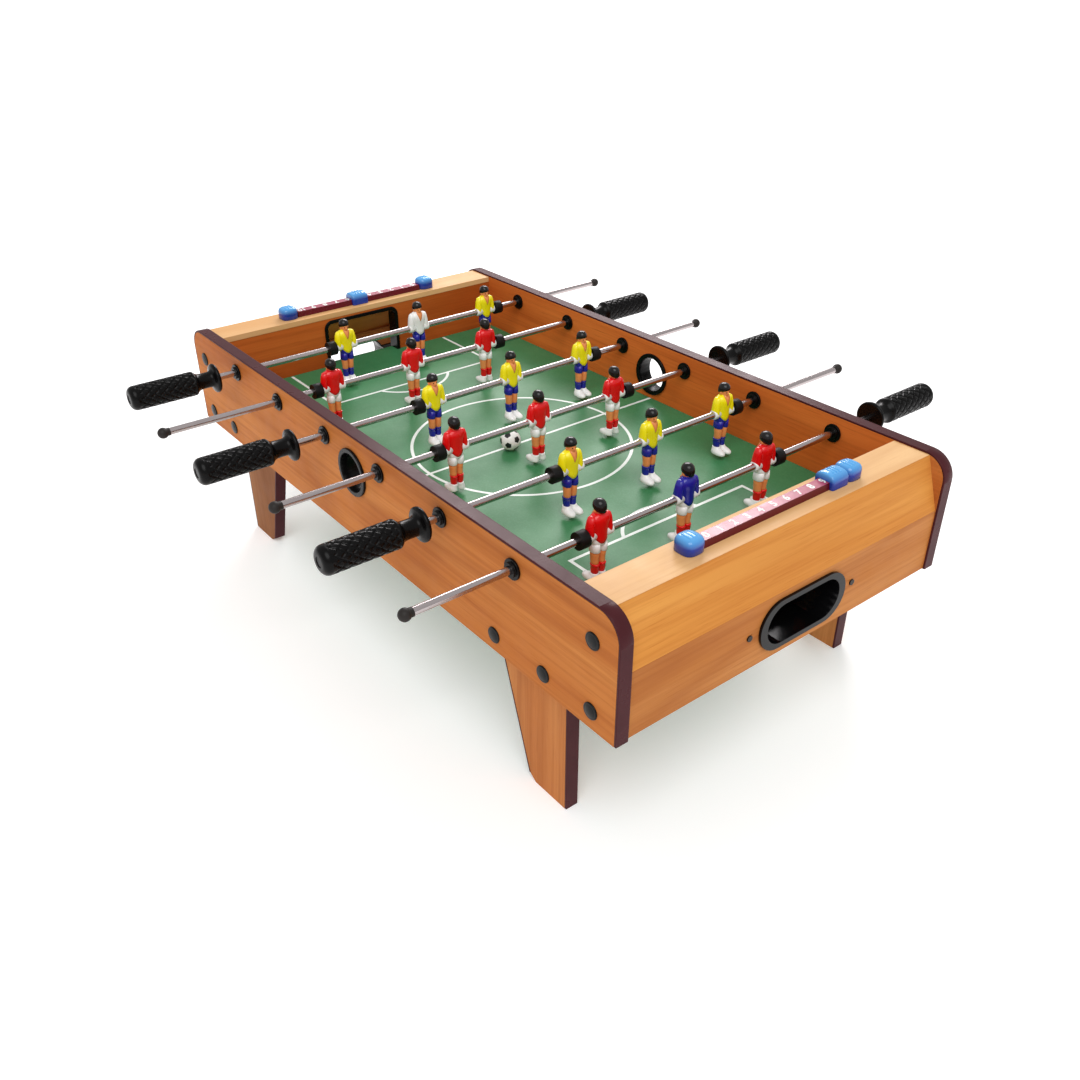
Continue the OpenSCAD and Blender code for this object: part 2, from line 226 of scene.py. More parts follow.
def raw_timber():
    """Bare softwood, its grain upright."""
    p = Paint("raw_timber", Specular_IOR_Level=0.3)
    lines = p.noise(p.scaled(300, 300, 9), detail=5, rough=0.6)
    colour = p.mix(p.spread(lines, 0.35, 0.65), srgb(214, 176, 124), srgb(172, 130, 84))
    return p.set(Base_Color=colour, Roughness=p.spread(lines, 0.3, 0.7, 0.6, 0.78),
                 Normal=p.bump(lines, 0.4, 0.0002))


X, Y, Z = 0, 1, 2
HONEY = (srgb(200, 128, 66), srgb(184, 106, 48), srgb(142, 70, 28))
INNER = (srgb(200, 106, 44), srgb(184, 88, 32), srgb(136, 58, 18))
PALE = (srgb(230, 188, 136), srgb(218, 168, 112), srgb(184, 126, 74))
SLANT = (srgb(220, 154, 76), srgb(204, 132, 56), srgb(170, 92, 34))
END = (srgb(198, 134, 76), srgb(182, 114, 58), srgb(148, 80, 38))
LEG = (srgb(208, 142, 84), srgb(190, 118, 64), srgb(150, 80, 38))
# darker copy of the leg laminate for the near left leg: painted shade, for the shade that falls
# on that leg
LEG_PAINTED_SHADE = (srgb(156, 106, 68), srgb(140, 88, 52), srgb(104, 58, 30))
# inner faces of the side panels: painted light, brighter and deeper orange than the outer faces,
# making up for the shade inside the box
INSIDE_PAINTED_LIGHT = (srgb(232, 126, 56), srgb(214, 106, 42), srgb(164, 72, 26))

MATS = {
    "side": laminate("side_wood", X, HONEY, seed=2.0, gloss=0.5, shine=0.05, figure=1.5,
                     inside=INSIDE_PAINTED_LIGHT),
    "wall": laminate("wall_wood", Y, INNER, seed=5.5),
    "top": laminate("top_wood", Y, PALE, seed=9.0, gloss=0.4, contrast=0.5, shine=0.12),
    "slant": laminate("slant_wood", Y, SLANT, seed=13.0, shine=0.06, figure=2.6),
    "end": laminate("end_wood", Y, END, seed=17.0, gloss=0.5, shine=0.05, figure=1.3),
    "leg": laminate("leg_wood", Z, LEG, seed=21.0, gloss=0.5, shine=0.05),
    "leg_painted_shade": laminate("leg_painted_shade_wood", Z, LEG_PAINTED_SHADE, seed=24.0, gloss=0.5, shine=0.04),
    "timber": raw_timber(),
    "edging": moulded("edging_brown", srgb(74, 34, 38), 0.3, tint=0.15, level=0.08,
                      depth=0.00002),
    "field": field_green(),
    "white_print": moulded("white_print", srgb(232, 240, 234), 0.42),
    "black": moulded("black_plastic", srgb(9, 8, 8), 0.26, level=0.14),
    "cup_gloss": moulded("cup_gloss", srgb(7, 7, 8), 0.16, level=0.2, depth=0.00002),
    "cap_black": moulded("cap_black", srgb(10, 10, 10), 0.36, level=0.2),
    "rubber": moulded("black_rubber", srgb(14, 12, 12), 0.5, grain=1500, depth=0.0001,
                      level=0.2, beyond=(ROD_TIP_Y, srgb(40, 36, 34))),
    "grip": moulded("grip_black", srgb(8, 7, 7), 0.26, grain=1100, depth=0.00004,
                    level=0.13),
    "steel": metal("steel_bar", srgb(192, 182, 182), 0.2, Y),
    "zinc": metal("zinc_screw", srgb(196, 196, 200), 0.34, Y),
    "dark_screw": metal("dark_screw", srgb(62, 56, 52), 0.4, X),
    "rail_red": moulded("rail_red", srgb(96, 14, 26), 0.24, tint=0.15, level=0.3),
    # pink strip on the rails' tops, under the printed numerals: painted sheen, the reflection on
    # the glossy red top
    "rail_print": moulded("rail_print", srgb(172, 74, 98), 0.24, tint=0.2),
    # the blue pieces' tops fade to a light cyan-blue: a painted highlight for the light on their
    # tops
    "marker_blue": moulded("marker_blue", srgb(24, 58, 158), 0.14, tint=0.15,
                           top=(229, 235.8, srgb(92, 170, 228))),
    "yellow": moulded("shirt_yellow", srgb(250, 234, 16), 0.24, grain=1400, tint=0.06),
    "red": moulded("shirt_red", srgb(228, 8, 16), 0.24, grain=1400, tint=0.1),
    "blue": moulded("kit_blue", srgb(30, 30, 150), 0.24, grain=1400, tint=0.1),
    "white": moulded("kit_white", srgb(242, 242, 240), 0.26, grain=1400, tint=0.05),
    "skin": moulded("skin_paint", srgb(240, 148, 84), 0.32, grain=1400, tint=0.08),
    "hair": moulded("hair_black", srgb(18, 16, 16), 0.22, grain=1400, level=0.35),
    "ball_black": moulded("ball_black", srgb(26, 26, 28), 0.3),
    "ball_white": moulded("ball_white", srgb(244, 243, 240), 0.3, tint=0.04),
}


# ---------------------------------------------------------------- CAD nodes
def finish_cad(name, mat, width=0.5, angle=35):
    """A carried-over CAD node gets its material, and its sharp edges are slightly rounded."""
    o = NODES[name]
    o.data.materials.clear()
    o.data.materials.append(MATS[mat])
    if width:
        weld = o.modifiers.new("weld", "WELD")
        weld.merge_threshold = 0.000002
        bevel = o.modifiers.new("bevel", "BEVEL")
        bevel.limit_method = "ANGLE"
        bevel.angle_limit = math.radians(angle)
        bevel.width = width * MM
        bevel.segments = 2
        bevel.use_clamp_overlap = True
        bevel.harden_normals = True
    return o


CAD_FINISH = {
    "near_side_panel": ("side", 0.2), "far_side_panel": ("side", 0.2),
    "edge_trims": ("edging", 0.8),
    "left_goal_wall": ("wall", 0.2), "right_goal_wall": ("wall", 0.2),
    "left_top_board": ("top", 0.4), "right_top_board": ("top", 0.4),
    "left_slant_board": ("slant", 0.3), "right_slant_board": ("slant", 0.3),
    "left_end_panel": ("end", 0.3), "right_end_panel": ("end", 0.3),
    "corner_blocks": ("timber", 0.5), "pitch_board": ("field", 0.2),
    "goal_frames": ("black", 0.7), "ball_cups": ("cup_gloss", 0.9),
    "serve_cups": ("black", 0.7),
    # the near left leg takes the darker copy of the leg laminate: painted shade
    "near_left_leg": ("leg_painted_shade", 0.2), "near_right_leg": ("leg", 0.2),
    "far_left_leg": ("leg", 0.2), "far_right_leg": ("leg", 0.2),
    "leg_edge_bands": ("edging", 0.5), "screw_caps": ("cap_black", 0.0),
    "panel_screws": ("zinc", 0.0), "cup_screws": ("dark_screw", 0.3),
    "left_scorer_rail": ("rail_red", 0.3), "right_scorer_rail": ("rail_red", 0.3),
    "scorer_end_caps": ("marker_blue", 0.8),
    "left_scorer_slider": ("marker_blue", 0.8),
    "right_scorer_slider": ("marker_blue", 0.8), "ball": ("ball_white", 0.0),
}
for i in range(1, 7):
    CAD_FINISH[f"rod_{i}"] = ("steel", 0.0)
    CAD_FINISH[f"rod_{i}_handle"] = ("grip", 0.0)
    CAD_FINISH[f"rod_{i}_players"] = ("yellow" if i % 2 else "red", 0.0)
    CAD_FINISH[f"rod_{i}_stops"] = ("rubber", 0.6)
    CAD_FINISH[f"rod_{i}_bearings"] = ("black", 0.4)
for name, (mat, width) in CAD_FINISH.items():
    finish_cad(name, mat, width)


# ---------------------------------------------------------------- mesh tools
def add_piece(bm, name, mats, body, replaced=()):
    """Turns a bmesh drawn in mm into a piece that rides on a body."""
    bmesh.ops.scale(bm, vec=(MM,) * 3, verts=bm.verts)
    bmesh.ops.recalc_face_normals(bm, faces=bm.faces)
    mesh = bpy.data.meshes.new(name)
    bm.to_mesh(mesh)
    bm.free()
    mesh.polygons.foreach_set("use_smooth", [True] * len(mesh.polygons))
    for mat in mats:
        mesh.materials.append(MATS[mat])
    o = bpy.data.objects.new(name, mesh)
    bpy.context.collection.objects.link(o)
    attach(o, body)
    if replaced:
        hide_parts(*replaced)
    return o


def crease(o, angle):
    """Marks the sharp edges of a smooth piece, so that they stay crisp."""
    bm = bmesh.new()
    bm.from_mesh(o.data)
    for e in bm.edges:
        if len(e.link_faces) == 2 and e.calc_face_angle(0) > math.radians(angle):
            e.smooth = False
    bm.to_mesh(o.data)
    bm.free()


def flat(o):
    """Shades a flat printed piece flat."""
    o.data.polygons.foreach_set("use_smooth", [False] * len(o.data.polygons))


def skin_rings(bm, rings, mat_of=lambda i: 0, caps=True):
    """Joins rings of points into one closed skin; each ring has the same count."""
    made = [[bm.verts.new(p) for p in ring] for ring in rings]
    count = len(made[0])
    for i in range(len(made) - 1):
        for j in range(count):
            k = (j + 1) % count
            face = bm.faces.new((made[i][j], made[i][k], made[i + 1][k], made[i + 1][j]))
            face.material_index = mat_of(i)
    if caps:
        for ring, i in ((made[0], 0), (made[-1], len(made) - 2)):
            middle = sum((v.co for v in ring), Vector()) / count
            tip = bm.verts.new(middle)
            for j in range(count):
                face = bm.faces.new((ring[j], ring[(j + 1) % count], tip))
                face.material_index = mat_of(i)
    return made


def loft(bm, rows, mat=0, count=24, power=2.0, lift=None, mats=None):
    """Skin over upright rows (z, half depth, half width, centre x, centre y).

    lift(row, angle) moves a row's points up or down; mats gives each band its material.
    """
    rings = []
    for n, (z, rx, ry, cx, cy) in enumerate(rows):
        ring = []
        for j in range(count):
            t = 2 * math.pi * j / count
            c, s = math.cos(t), math.sin(t)
            x = math.copysign(abs(c) ** (2 / power), c) * rx + cx
            y = math.copysign(abs(s) ** (2 / power), s) * ry + cy
            ring.append((x, y, z + (lift(n, t) if lift else 0.0)))
        rings.append(ring)
    return skin_rings(bm, rings, (lambda i: mats[i]) if mats else (lambda i: mat))


def turn(bm, profile, count=64, axis="y", centre=(0, 0, 0), sign=1, mat=0, radius=None):
    """Turns a profile of (along, r) round an axis through centre; the ends close on it.

    radius(along, r, angle) may vary the radius round the axis.
    """
    rings = []
    for along, r in profile:
        ring = []
        for j in range(count):
            t = 2 * math.pi * j / count
            rr = radius(along, r, t) if radius else r
            a, b = rr * math.cos(t), rr * math.sin(t)
            if axis == "y":
                p = (a, along * sign, b)
            elif axis == "x":
                p = (along * sign, a, b)
            else:
                p = (a, b, along * sign)
            ring.append(tuple(p[i] + centre[i] for i in range(3)))
        rings.append(ring)
    return skin_rings(bm, rings, lambda i: mat)


def arc(cx, cy, r, a0, a1, count):
    """Points on an arc, angles in degrees."""
    return [(cx + r * math.cos(math.radians(a0 + (a1 - a0) * i / count)),
             cy + r * math.sin(math.radians(a0 + (a1 - a0) * i / count)))
            for i in range(count + 1)]


# ---------------------------------------------------------------- field lines
LINE_W = 3.0
BOX_X, BOX_Y = 195.0, 101.0          # penalty box: front line and half width
CIRCLE_R = 107.5
ARC_X, ARC_R = 220.0, 50.0
GOAL_LINE = 291.0
SIDE_LINE = 172.6


def ribbon(bm, points, height, closed=False, width=LINE_W):
    """A flat painted line along points, with its own small thickness."""
    count = len(points)
    left, right = [], []
    for i, p in enumerate(points):
        before = points[i - 1] if i or closed else p
        after = points[(i + 1) % count] if i < count - 1 or closed else p
        d1 = Vector((p[0] - before[0], p[1] - before[1]))
        d2 = Vector((after[0] - p[0], after[1] - p[1]))
        d1 = d1.normalized() if d1.length > 1e-9 else d2.normalized()
        d2 = d2.normalized() if d2.length > 1e-9 else d1
        along = (d1 + d2).normalized()
        side = Vector((-along.y, along.x)) * (width / 2 / max(0.3, along.dot(d1)))
        left.append((p[0] + side.x, p[1] + side.y))
        right.append((p[0] - side.x, p[1] - side.y))
    low, high = FIELD_Z - 0.05, FIELD_Z + height
    verts = [[bm.verts.new((x, y, z)) for x, y in row]
             for row, z in ((left, low), (left, high), (right, high), (right, low))]
    last = count if closed else count - 1
    for i in range(last):
        j = (i + 1) % count
        for a in range(4):
            b = (a + 1) % 4
            bm.faces.new((verts[a][i], verts[a][j], verts[b][j], verts[b][i]))
    if not closed:
        for i in (0, -1):
            bm.faces.new([row[i] for row in verts])


def field_lines():
    bm = bmesh.new()
    ribbon(bm, [(0, -SIDE_LINE), (0, SIDE_LINE)], 0.1)
    ribbon(bm, arc(0, 0, CIRCLE_R, 0, 360, 96)[:-1], 0.11, closed=True)
    for s in (-1, 1):
        ribbon(bm, [(s * GOAL_LINE, -BOX_Y), (s * BOX_X, -BOX_Y), (s * BOX_X, BOX_Y),
                    (s * GOAL_LINE, BOX_Y)], 0.1)
        half = math.degrees(math.acos((ARC_X - BOX_X) / ARC_R))
        centre = 180 if s > 0 else 0
        ribbon(bm, arc(s * ARC_X, 0, ARC_R, centre - half, centre + half, 32), 0.11)
    flat(add_piece(bm, "field_lines", ["white_print"], "box"))


field_lines()

# ---------------------------------------------------------------- players
KIT_MATS = ["yellow", "red", "blue", "white", "skin", "hair"]
YELLOW, RED, BLUE, WHITE, SKIN, HAIR = range(6)
KITS = {  # shirt, shorts, socks
    "yellow": (YELLOW, BLUE, BLUE), "red": (RED, WHITE, RED),
    "left_keeper": (WHITE, BLUE, BLUE), "right_keeper": (BLUE, WHITE, RED),
}
SOLE = -41.1


def one_player(kit):
    """A moulded player round the rod at the origin, facing +X."""
    shirt, shorts, socks = KITS[kit]
    bm = bmesh.new()
    for s in (-1, 1):
        # boot: broad flat sole, long rounded toe, ankle
        loft(bm, [(SOLE, 7.2, 3.5, 3.6, s * 4.2), (SOLE + 0.4, 7.8, 3.95, 3.6, s * 4.2),
                  (-39.9, 7.95, 4.1, 3.6, s * 4.2), (-38.5, 7.8, 4.05, 3.5, s * 4.15),
                  (-37.4, 6.5, 3.8, 2.4, s * 3.95), (-36.4, 5.0, 3.4, 1.0, s * 3.65),
                  (-35.4, 4.2, 3.1, 0.1, s * 3.4), (-34.4, 4.0, 3.0, -0.1, s * 3.3),
                  (-34.1, 3.5, 2.7, -0.1, s * 3.25)], mat=WHITE, power=2.3)
        # sock with calf and turned cuff
        loft(bm, [(-35.2, 3.2, 2.7, -0.1, s * 3.2), (-33.0, 3.5, 2.9, -0.2, s * 3.2),
                  (-30.0, 3.9, 3.1, -0.5, s * 3.2), (-27.4, 3.9, 3.1, -0.5, s * 3.2),
                  (-27.1, 4.2, 3.3, -0.4, s * 3.2), (-26.0, 4.2, 3.3, -0.4, s * 3.2),
                  (-25.7, 3.7, 3.0, -0.3, s * 3.2)], mat=socks)
        # knee and thigh
        loft(bm, [(-26.4, 3.5, 2.9, -0.2, s * 3.2), (-24.0, 3.7, 3.0, 0.1, s * 3.2),
                  (-21.8, 3.9, 3.1, 0.3, s * 3.25), (-18.5, 4.1, 3.2, 0.1, s * 3.3),
                  (-13.5, 4.4, 3.4, 0.0, s * 3.4)], mat=SKIN)
        # leg of the shorts
        loft(bm, [(-15.0, 4.9, 3.6, 0.0, s * 3.55), (-14.5, 5.3, 3.9, 0.0, s * 3.6),
                  (-11.5, 5.3, 3.8, 0.0, s * 3.5), (-7.5, 5.2, 3.6, 0.0, s * 3.4)],
             mat=shorts)
        # arm, held out a little and joined to the body, its end on the rod's hub
        loft(bm, [(16.4, 2.2, 1.9, -0.2, s * 6.7), (15.3, 3.3, 2.8, -0.2, s * 7.5),
                  (12.0, 3.9, 3.1, -0.2, s * 8.3), (8.0, 4.2, 3.2, -0.1, s * 8.8),
                  (4.0, 4.5, 3.3, 0.0, s * 9.1), (1.0, 4.5, 3.3, 0.0, s * 9.15),
                  (-1.4, 4.1, 3.0, 0.2, s * 9.0), (-3.2, 3.1, 2.3, 0.4, s * 8.6),
                  (-4.2, 1.5, 1.2, 0.6, s * 8.2)], mat=shirt)
        # moulded hub round the rod
        turn(bm, [(5.0, 4.3), (11.2, 4.6), (12.0, 4.4), (12.4, 4.0), (12.4, 3.4)], count=28,
             sign=s, mat=WHITE)
    # hips and waist
    loft(bm, [(-9.2, 4.6, 6.2, 0, 0), (-8.4, 5.3, 7.0, 0, 0), (-5.0, 5.3, 7.0, 0, 0),
              (0.0, 5.1, 6.6, 0, 0), (3.0, 4.8, 6.2, 0, 0)], mat=shorts, count=32, power=2.5)

    def hem(row, t):
        """The shirt hangs to a point in front and behind, and is cut high at the sides."""
        if row > 2:
            return 0.0
        return 6.2 * abs(math.sin(t)) ** 1.6 * (1.0, 1.0, 0.85)[row]

    loft(bm, [(-7.4, 5.1, 6.3, 0, 0), (-7.0, 5.65, 7.1, 0, 0), (-4.0, 5.6, 6.9, 0, 0),
              (2.6, 5.5, 7.2, 0, 0), (7.0, 5.8, 8.1, 0, 0), (11.0, 6.1, 8.8, 0, 0),
              (13.8, 5.8, 8.9, -0.1, 0), (15.8, 4.9, 7.9, -0.2, 0), (17.2, 3.9, 5.6, -0.3, 0),
              (17.9, 3.2, 3.9, -0.3, 0)], mat=shirt, count=40, power=2.3, lift=hem)
    # collar, neck, bare V at the throat
    turn(bm, [(17.0, 2.6), (17.1, 4.0), (17.8, 4.3), (18.5, 3.9), (18.6, 2.6)], count=24,
         axis="z", mat=shirt)
    loft(bm, [(14.5, 2.9, 2.9, -0.2, 0), (18.5, 2.8, 2.8, -0.1, 0), (20.5, 3.0, 2.8, 0, 0)],
         mat=SKIN, count=20)
    v_rows = []
    for z, x, half in ((8.4, 5.9, 0.25), (10.5, 6.05, 1.1), (13.0, 5.9, 2.0),
                       (15.2, 5.2, 2.8), (17.0, 4.3, 3.1), (18.4, 3.4, 2.9)):
        v_rows.append([(x - 1.4, -half, z), (x + 0.28, -half, z - 0.1),
                       (x + 0.42, 0, z - 0.15), (x + 0.28, half, z - 0.1),
                       (x - 1.4, half, z)])
    skin_rings(bm, v_rows, lambda i: SKIN)
    # head, nose, eyes, ears
    loft(bm, [(15.0, 1.2, 1.3, 2.1, 0), (15.5, 2.5, 2.3, 1.5, 0), (17.0, 3.9, 3.2, 0.8, 0),
              (19.0, 4.7, 3.8, 0.4, 0), (21.5, 5.1, 4.2, 0.2, 0), (24.0, 5.0, 4.3, 0, 0),
              (26.5, 4.0, 3.6, 0, 0), (27.8, 2.2, 2.0, 0, 0)], mat=SKIN, count=28)
    loft(bm, [(18.6, 0.4, 0.5, 5.2, 0), (19.2, 0.9, 0.8, 5.3, 0), (20.2, 0.8, 0.6, 5.2, 0),
              (21.6, 0.4, 0.3, 5.0, 0)], mat=SKIN, count=12)
    for s in (-1, 1):
        loft(bm, [(20.6, 0.2, 0.3, 4.75, s * 1.75), (21.1, 0.35, 0.65, 4.8, s * 1.75),
                  (21.6, 0.2, 0.3, 4.75, s * 1.75)], mat=HAIR, count=12)
        loft(bm, [(18.2, 0.7, 0.4, 0.2, s * 3.9), (19.4, 1.2, 0.7, 0.1, s * 4.2),
                  (20.9, 1.3, 0.7, 0.0, s * 4.35), (21.8, 0.6, 0.4, 0, s * 4.3)],
             mat=SKIN, count=12)

    def fringe(row, t):
        """Hair is cut high over the face and low on the neck."""
        return 1.8 * math.cos(t) * (1.0, 1.0, 0.6, 0.2, 0, 0, 0, 0)[row]

    loft(bm, [(20.9, 4.6, 4.0, -0.3, 0), (21.0, 5.6, 4.9, -0.3, 0), (22.7, 5.9, 5.4, -0.2, 0),
              (24.4, 5.8, 5.2, -0.1, 0), (26.3, 5.2, 4.7, 0, 0), (27.8, 4.0, 3.7, 0, 0),
              (28.6, 2.5, 2.3, 0, 0), (28.95, 1.0, 0.9, 0, 0)], mat=HAIR, count=28,
         lift=fringe)
    return bm


def place_players(k):
    """Three players on rod k, which counts from 0."""
    near_handle = k % 2 == 0
    base = "yellow" if near_handle else "red"
    whole = bmesh.new()
    for i in (-1, 0, 1):
        kit = base
        if i == 0 and k in (0, 5):
            kit = "left_keeper" if k == 0 else "right_keeper"
        bm = one_player(kit)
        if not near_handle:
            bmesh.ops.rotate(bm, cent=(0, 0, 0), matrix=Matrix.Rotation(math.pi, 3, "Z"),
                             verts=bm.verts)
        bmesh.ops.translate(
            bm, vec=(ROD_X[k], ROD_SHIFT[k] + i * PLAYER_PITCH, ROD_Z), verts=bm.verts)
        held = bpy.data.meshes.new("held")
        bm.to_mesh(held)
        bm.free()
        whole.from_mesh(held)
        bpy.data.meshes.remove(held)
    add_piece(whole, f"rod_{k + 1}_team", KIT_MATS, f"rod_{k + 1}_set",
              [f"rod_{k + 1}_players"])


for k in range(6):
    place_players(k)

# ---------------------------------------------------------------- handles
HANDLE_IN, HANDLE_OUT = 238.0, 326.0
BORE_R, BORE_STOP = 3.27, 8.0        # the rod's hole, and the solid end past it
GRIP_R = 11.95
KNOB_ROUND = 6.0
BUMPS_ROUND = 10
BUMP_PITCH = 9.2
GROOVE_DEPTH = 1.1
GRIP_FROM, GRIP_TO = 262.5, 320.0


def knurl(along, r, t):
    """Diamond bumps with rounded grooves between them, fading out at both ends."""
    if not GRIP_FROM < along < GRIP_TO:
        return r
    a = math.sin(BUMPS_ROUND / 2 * t + math.pi * (along - GRIP_FROM) / BUMP_PITCH)
    b = math.sin(BUMPS_ROUND / 2 * t - math.pi * (along - GRIP_FROM) / BUMP_PITCH)
    near = min(1.0, min(abs(a), abs(b)) / 0.42)
    groove = 1 - near * near * (3 - 2 * near)
    fade = min(1.0, (along - GRIP_FROM) / 2.0, (GRIP_TO - along) / 2.5)
    return r - GROOVE_DEPTH * groove * fade


def handle(k):
    sign = -1 if k % 2 == 0 else 1
    bore_end = HANDLE_OUT - BORE_STOP
    profile = [(bore_end, 0.01), (bore_end, BORE_R), (HANDLE_IN, BORE_R),
               (HANDLE_IN, 12.6), (238.3, 13.7), (239.0, 14.3), (240.0, 14.45),
               (241.0, 14.3), (241.8, 13.5), (242.5, 11.6), (243.2, 9.4), (244.2, 8.2),
               (246.0, 7.8), (252.0, 7.7), (256.5, 8.0), (258.6, 8.8), (260.0, 10.0),
               (261.0, 11.1), (262.0, 11.8), (262.6, GRIP_R)]
    rows = 84
    top = HANDLE_OUT - KNOB_ROUND
    profile += [(262.6 + (top - 262.6) * i / rows, GRIP_R) for i in range(1, rows + 1)]
    for i in range(1, 10):
        t = math.pi / 2 * i / 9
        profile.append((top + KNOB_ROUND * math.sin(t),
                        GRIP_R - KNOB_ROUND + KNOB_ROUND * math.cos(t)))
    profile += [(HANDLE_OUT, 4.4), (HANDLE_OUT - 0.6, 4.0), (HANDLE_OUT - 0.6, 0.6)]
    bm = bmesh.new()
    turn(bm, profile, count=80, sign=sign, centre=(ROD_X[k], ROD_SHIFT[k], ROD_Z),
         radius=knurl)
    o = add_piece(bm, f"rod_{k + 1}_grip", ["grip"], f"rod_{k + 1}_set",
                  [f"rod_{k + 1}_handle"])
    crease(o, 50)


for k in range(6):
    handle(k)

# ---------------------------------------------------------------- ball
BALL_AT = (6.0, -18.5, 172.0)
BALL_R = 10.0


def football():
    """Twelve black and twenty white panels with sunk seams."""
    bm = bmesh.new()
    bmesh.ops.create_icosphere(bm, subdivisions=1, radius=1.0)
    bmesh.ops.bevel(bm, geom=bm.verts[:], offset=100 / 3, offset_type="PERCENT", segments=1,
                    affect="VERTICES", profile=0.5)
    seam = bm.verts.layers.float.new("seam")
    for f in bm.faces:
        f.material_index = 1 if len(f.verts) == 5 else 0
    for v in bm.verts:
        v[seam] = 1.0
    bmesh.ops.inset_individual(bm, faces=bm.faces[:], thickness=0.028)
    rims = {v for f in bm.faces if len(f.verts) > 4 for v in f.verts}
    for v in rims:
        v[seam] = 0.0
    big = [f for f in bm.faces if len(f.verts) > 4]
    poked = bmesh.ops.poke(bm, faces=big)
    for v in poked["verts"]:
        v[seam] = 0.0
    for _ in range(2):
        bmesh.ops.subdivide_edges(bm, edges=bm.edges[:], cuts=2, use_grid_fill=True)
    for v in bm.verts:
        v.co = v.co.normalized() * BALL_R * (1 - 0.018 * v[seam])
    bmesh.ops.rotate(bm, cent=(0, 0, 0), verts=bm.verts, matrix=(
        Matrix.Rotation(math.radians(24), 3, "Z") @ Matrix.Rotation(math.radians(37), 3, "X")))
    bmesh.ops.translate(bm, vec=BALL_AT, verts=bm.verts)
    add_piece(bm, "football", ["ball_white", "ball_black"], "loose_ball",
              ["ball"])


football()

# ---------------------------------------------------------------- screw caps
CAP_R = 6.95
END_X, END_ZS = 318.5, (135.0, 195.0)
LEG_XS, LEG_Z = (206.0, 266.0), 134.0


def screw_caps():
    """Domed snap caps with a rolled rim, on both sides of the box."""
    spots = [(sx * END_X, z) for sx in (-1, 1) for z in END_ZS]
    spots += [(sx * x, LEG_Z) for sx in (-1, 1) for x in LEG_XS]
    bm = bmesh.new()
    profile = [(0.0, 0.01), (0.0, CAP_R - 0.2), (0.25, CAP_R), (0.7, CAP_R), (1.1, CAP_R - 0.3),
               (1.25, CAP_R - 0.9), (1.2, CAP_R - 1.5), (1.45, CAP_R - 2.2), (1.75, 3.4),
               (1.93, 1.6), (1.98, 0.3)]
    for side in (-1, 1):
        for x, z in spots:
            turn(bm, profile, count=40, sign=side, centre=(x, side * PANEL_OUT, z))
    o = add_piece(bm, "domed_caps", ["cap_black"], "box", ["screw_caps"])
    crease(o, 50)


screw_caps()

# ---------------------------------------------------------------- scorers
SCORER_X = 308.0
RAIL_TOP = 229.0
RAIL_L = 158.0
END_CAP_L = 19.0
FIGURES = 11
NUMERAL = 9.4
SLIDER_Y = {"left": -2.0, "right": 68.5}


def bead(bm, x, y, half_l, low):
    """A pillow-shaped block of the scorer with three finger ridges across its top."""
    loft(bm, [(low, 9.0, half_l - 0.5, x, y), (low + 0.5, 9.45, half_l - 0.05, x, y),
              (230.0, 9.45, half_l - 0.05, x, y), (232.3, 9.1, half_l - 0.4, x, y),
              (234.0, 8.1, half_l - 1.4, x, y), (235.0, 6.3, half_l - 3.2, x, y),
              (235.4, 3.2, 3.2, x, y)], count=48, power=3.0)
    ridges(bm, x, y)


def ridges(bm, x, y):
    """Three rounded finger ridges across the top of a block."""
    for dy in (-3.4, 0.0, 3.4):
        turn(bm, [(-5.2, 0.01), (-5.2, 0.5), (-4.9, 0.9), (-4.2, 1.15), (4.2, 1.15),
                  (4.9, 0.9), (5.2, 0.5), (5.2, 0.01)], count=20, axis="x",
             centre=(x, y + dy, 234.75))


def slider(side, sign):
    """The sliding marker: the same pillow shape, with a channel that rides on the rail."""
    bm = bmesh.new()
    x0, y0, low = sign * SCORER_X, SLIDER_Y[side], 223.2
    half = 9.75  # half its length
    stations = [(-half, 1.7), (-half + 0.3, 0.8), (-half + 1.0, 0.25), (-half + 2.2, 0.0)]
    stations += [(-dy, inset) for dy, inset in reversed(stations)]
    rows = []
    for dy, inset in stations:
        ring = []
        for i in range(25):
            t = math.pi * i / 24
            c, z = math.cos(t), math.sin(t)
            ring.append((math.copysign(abs(c) ** (2 / 3.0), c) * (9.45 - inset),
                         4.6 + z ** (2 / 2.4) * (7.5 - inset)))
        under = [(-9.45 + inset, 0.05), (-6.3, 0.05), (-6.3, 0.9), (-5.3, 6.1), (5.3, 6.1),
                 (6.3, 0.9), (6.3, 0.05), (9.45 - inset, 0.05)]
        rows.append([(x0 + x, y0 + dy, low + z) for x, z in ring + under])
    made = skin_rings(bm, rows, caps=False)
    for ring in (made[0], made[-1]):
        bm.faces.new(ring)
    ridges(bm, x0, y0)
    o = add_piece(bm, f"{side}_marker_bead", ["marker_blue"], f"{side}_marker",
                  [f"{side}_scorer_slider"])
    crease(o, 40)


def scorer_beads():
    """The end caps of both scorers."""
    caps = bmesh.new()
    for sx in (-1, 1):
        for sy in (-1, 1):
            bead(caps, sx * SCORER_X, sy * (RAIL_L + END_CAP_L) / 2, END_CAP_L / 2, 223.0)
    add_piece(caps, "scorer_end_beads", ["marker_blue"], "box",
              ["scorer_end_caps"])


